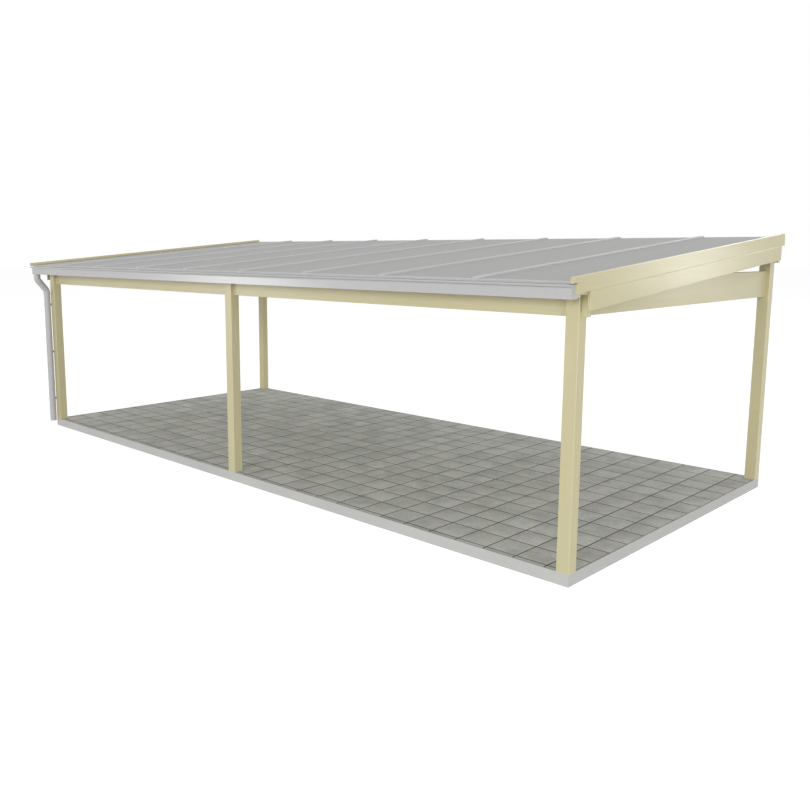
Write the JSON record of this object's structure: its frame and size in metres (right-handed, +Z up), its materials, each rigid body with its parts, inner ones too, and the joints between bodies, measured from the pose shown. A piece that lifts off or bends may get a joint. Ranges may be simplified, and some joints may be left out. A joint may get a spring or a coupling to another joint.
{
  "type": "lean-to patio cover frame",
  "caption": "Free-standing lean-to patio cover: posts on a raised tiled base carry beams, sloping rafters, roof sheets, verge boards, a gutter and a downpipe.",
  "frame": {"origin": "centre of the base's footprint, on the ground", "axes": "+X to the right along the front, +Y to the high back edge of the roof, +Z up"},
  "size_m": [8.878, 4.267, 2.788],
  "materials": {
    "cream_frame": "planed timber with an opaque satin coating",
    "roof_sheet": "opaque grey multiwall sheet",
    "bar_aluminium": "satin powder coat on extruded aluminium",
    "rainwater_grey": "smooth pale grey plastic",
    "pale_edge": "smooth cast edging",
    "concrete": "cast concrete",
    "tiles": "square concrete pavers with open joints"
  },
  "bodies": {
    "root": {"base_slab": "concrete", "tile_layer": "tiles", "edge_strip_front": "pale_edge", "edge_strip_back": "pale_edge", "edge_strip_left": "pale_edge", "edge_strip_right": "pale_edge", "post_front_left": "cream_frame", "post_front_middle": "cream_frame", "post_front_right": "cream_frame", "post_back_left": "cream_frame", "post_back_right": "cream_frame", "eaves_beam_left": "cream_frame", "eaves_beam_right": "cream_frame", "side_beam_left": "cream_frame", "side_beam_right": "cream_frame", "back_beam": "cream_frame", "rafter_1": "cream_frame", "rafter_2": "cream_frame", "rafter_3": "cream_frame", "rafter_4": "cream_frame", "rafter_5": "cream_frame", "rafter_6": "cream_frame", "rafter_7": "cream_frame", "rafter_8": "cream_frame", "edge_rafter_left": "cream_frame", "edge_rafter_right": "cream_frame", "verge_board_left": "cream_frame", "verge_board_right": "cream_frame", "verge_skirt_left": "cream_frame", "verge_skirt_right": "cream_frame", "skirt_cleats": "cream_frame", "eaves_fascia": "cream_frame", "roof_sheets": "roof_sheet", "glazing_bars": "bar_aluminium", "eaves_closer": "bar_aluminium", "back_closer": "bar_aluminium", "gutter": "rainwater_grey", "gutter_end_caps": "rainwater_grey", "gutter_brackets": "rainwater_grey", "gutter_outlet": "rainwater_grey", "elbow_upper": "rainwater_grey", "offset_pipe": "rainwater_grey", "elbow_lower": "rainwater_grey", "downpipe": "rainwater_grey", "pipe_clips": "rainwater_grey"}
  },
  "joints": []
}
